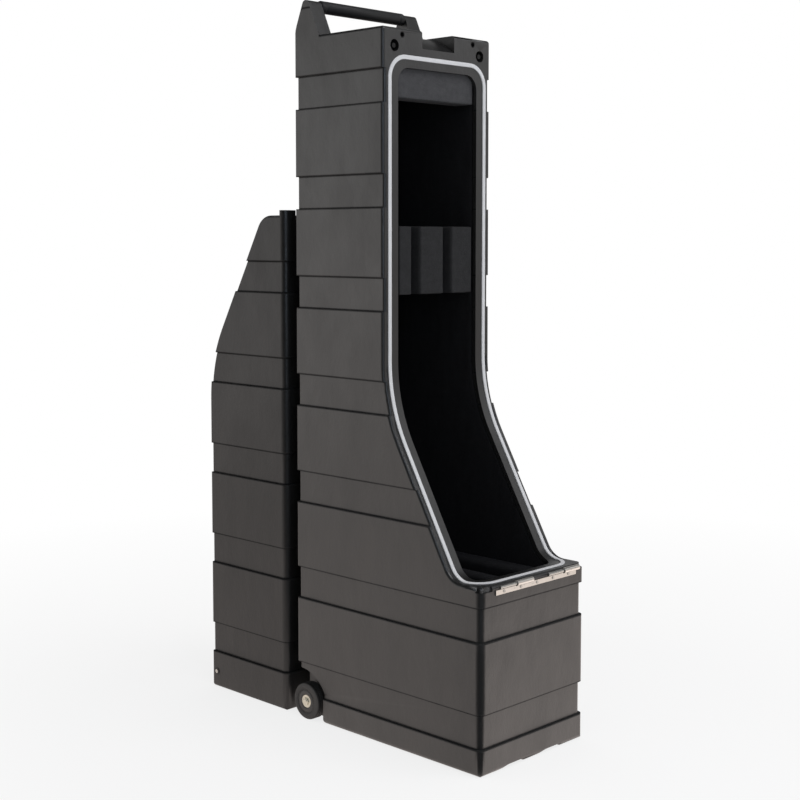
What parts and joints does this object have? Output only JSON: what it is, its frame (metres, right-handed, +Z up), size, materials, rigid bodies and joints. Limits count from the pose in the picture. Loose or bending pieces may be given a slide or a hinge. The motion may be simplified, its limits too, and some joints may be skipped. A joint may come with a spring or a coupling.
{
  "type": "double electric guitar case",
  "caption": "Upright hard case for electric guitars, with foam cradles, a full-length gasket, a rear handle, wheels and a lift-off lid that stands behind it.",
  "frame": {"origin": "centre of the case's rectangular footprint, on the floor", "axes": "+Z up, -Y the case's open front, +X the case's right seen from the front; the lid stands behind it, towards +Y"},
  "size_m": [0.3138, 0.7775, 1.399],
  "materials": {
    "shell": "dark grey roto-moulded polyethylene, fine matt grain",
    "gasket": "light grey sponge rubber",
    "grip": "black rubber sleeve",
    "steel": "plated steel",
    "hinge_metal": "bright plated steel strip",
    "black_steel": "black oxide steel",
    "lining": "black plush over foam",
    "grey_foam": "dark grey closed-cell foam",
    "black_plastic": "black nylon",
    "tyre": "dark grey rubber tread",
    "hub": "dark grey nylon hub"
  },
  "bodies": {
    "case": {"case_shell": "shell", "rim_gasket": "gasket", "handle_grip": "grip", "handle_rod": "steel", "back_foam": "lining", "right_side_foam": "lining", "left_side_foam": "lining", "header_foam": "grey_foam", "neck_cradle": "grey_foam", "body_cradle": "lining", "case_hinge_leaf": "hinge_metal", "hinge_pins": "steel", "case_hinge_screws": "steel", "striker_studs": "black_steel", "dowel_bushes": "black_steel", "axle": "steel", "wheel_spacers": "black_plastic", "wheel_washers": "steel", "axle_nuts": "steel"},
    "lid": {"lid_shell": "shell", "lid_front_foam": "lining", "lid_left_foam": "lining", "lid_right_foam": "lining", "lid_header_pad": "grey_foam", "lid_neck_pad": "grey_foam", "lid_body_pad": "lining", "lid_hinge_leaf": "hinge_metal", "lid_hinge_screws": "steel", "lid_dowels": "steel", "latch_brackets": "black_steel", "latch_screws": "steel", "latch_pivots": "steel", "button_bushes": "black_plastic"},
    "left_wheel": {"left_tyre": "tyre", "left_hub": "hub"},
    "right_wheel": {"right_tyre": "tyre", "right_hub": "hub"},
    "left_hook": {"left_latch_hook": "steel"},
    "right_hook": {"right_latch_hook": "steel"},
    "left_button": {"left_latch_button": "steel"},
    "right_button": {"right_latch_button": "steel"}
  },
  "joints": [
    {"name": "left_wheel_spin", "type": "hinge", "parent": "case", "child": "left_wheel", "pos_m": [-0.142, 0.208, 0.036], "axis": [1, 0, 0], "continuous": true},
    {"name": "right_wheel_spin", "type": "hinge", "parent": "case", "child": "right_wheel", "pos_m": [0.142, 0.208, 0.036], "axis": [1, 0, 0], "continuous": true},
    {"name": "lid_lift", "type": "slide", "parent": "case", "child": "lid", "axis": [0, 0, 1], "range_m": [0, 0.3]},
    {"name": "left_button_push", "type": "slide", "parent": "lid", "child": "left_button", "axis": [1, 0, 0], "range_m": [0, 0.0015], "stiffness_N_per_m": 2500, "springref_m": -0.002},
    {"name": "right_button_push", "type": "slide", "parent": "lid", "child": "right_button", "axis": [-1, 0, 0], "range_m": [0, 0.0015], "stiffness_N_per_m": 2500, "springref_m": -0.002},
    {"name": "left_hook_swing", "type": "hinge", "parent": "lid", "child": "left_hook", "pos_m": [-0.1108, 0.467, 0.033], "axis": [0, 0, -1], "range_deg": [0, 3]},
    {"name": "right_hook_swing", "type": "hinge", "parent": "lid", "child": "right_hook", "pos_m": [0.1108, 0.467, 0.033], "axis": [0, 0, 1], "range_deg": [0, 3]}
  ],
  "couplings": [
    {"joint": "left_hook_swing", "follows": "left_button_push", "rad_per_m": 34.483},
    {"joint": "right_hook_swing", "follows": "right_button_push", "rad_per_m": 34.483}
  ]
}
